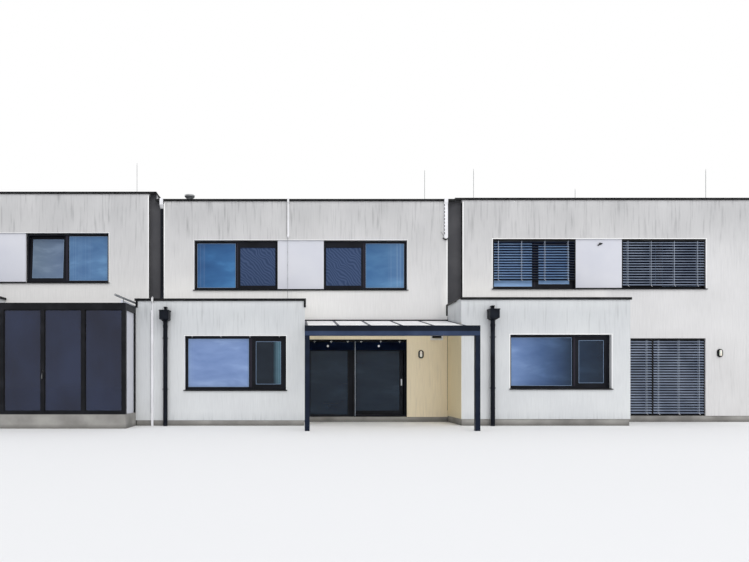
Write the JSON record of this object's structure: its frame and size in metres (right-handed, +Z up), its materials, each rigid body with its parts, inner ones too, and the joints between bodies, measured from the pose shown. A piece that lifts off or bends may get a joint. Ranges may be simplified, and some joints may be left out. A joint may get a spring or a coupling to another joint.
{
  "type": "terraced house row",
  "caption": "Row of modern flat-roofed two-storey terraced houses with projecting ground-floor boxes, a glass-roofed pergola, a glazed veranda and a sliding terrace door.",
  "frame": {"origin": "centre of the middle house's base on the ground", "axes": "+X along the row to the right seen from the garden front, +Y from the front to the back, +Z up"},
  "size_m": [27.66, 13.79, 8.11],
  "materials": {
    "white_render": "fine scratched render on insulation, weathered",
    "warm_render": "fine scratched render, sheltered",
    "concrete": "float finished",
    "roof_membrane": "welded sheet",
    "coping_metal": "satin coated sheet",
    "joint_panel": "matt",
    "smooth_panel": "satin facade panel",
    "frame_profile": "foiled satin profile",
    "glazing": "clear insulating glass",
    "netting": "fine mesh",
    "blind_metal": "satin coated",
    "entrance_leaf": "satin",
    "pergola_metal": "satin coated aluminium",
    "roof_glass": "laminated glass",
    "rainwater_metal": "satin coated sheet",
    "white_plastic": "weathered",
    "bare_metal": "dull",
    "lamp_plastic": "opal",
    "veranda_metal": "satin coated aluminium"
  },
  "bodies": {
    "row": {"foundation_slabs": "concrete", "party_walls": "white_render", "upper_front_walls": "white_render", "terrace_walls": "warm_render", "terrace_lintels": "warm_render", "box_front_walls": "white_render", "box_side_walls": "white_render", "rear_walls": "white_render", "first_floors": "concrete", "roof_decks": "roof_membrane", "box_roofs": "roof_membrane", "front_copings": "coping_metal", "rear_copings": "coping_metal", "party_copings": "coping_metal", "box_copings": "coping_metal", "joint_panels": "joint_panel", "band_panels": "smooth_panel", "window_sills": "coping_metal", "window_frames": "frame_profile", "window_sashes": "frame_profile", "window_glass": "glazing", "insect_screens": "netting", "terrace_door_frames": "frame_profile", "terrace_door_glass": "glazing", "entrance_doors": "entrance_leaf", "blind_slats": "blind_metal", "blind_rails": "blind_metal", "pergola_posts": "pergola_metal", "pergola_beam": "pergola_metal", "pergola_wall_plate": "pergola_metal", "pergola_rafters": "pergola_metal", "pergola_glass": "roof_glass", "rainwater_hoppers": "rainwater_metal", "downpipes": "rainwater_metal", "pipe_clamps": "rainwater_metal", "conductor_covers": "white_plastic", "lightning_rods": "bare_metal", "roof_vents": "bare_metal", "wall_lamps": "lamp_plastic", "terrace_vents": "white_plastic", "veranda_floor": "concrete", "veranda_frame": "veranda_metal", "veranda_glass": "glazing", "veranda_panels": "smooth_panel", "veranda_roof": "roof_membrane", "awning_rails": "bare_metal"},
    "terrace_leaf": {"sliding_leaf": "frame_profile", "sliding_leaf_glass": "glazing"}
  },
  "joints": [
    {"name": "terrace_leaf_slide", "type": "slide", "parent": "row", "child": "terrace_leaf", "axis": [-1, 0, 0], "range_m": [0, 1.29]}
  ]
}
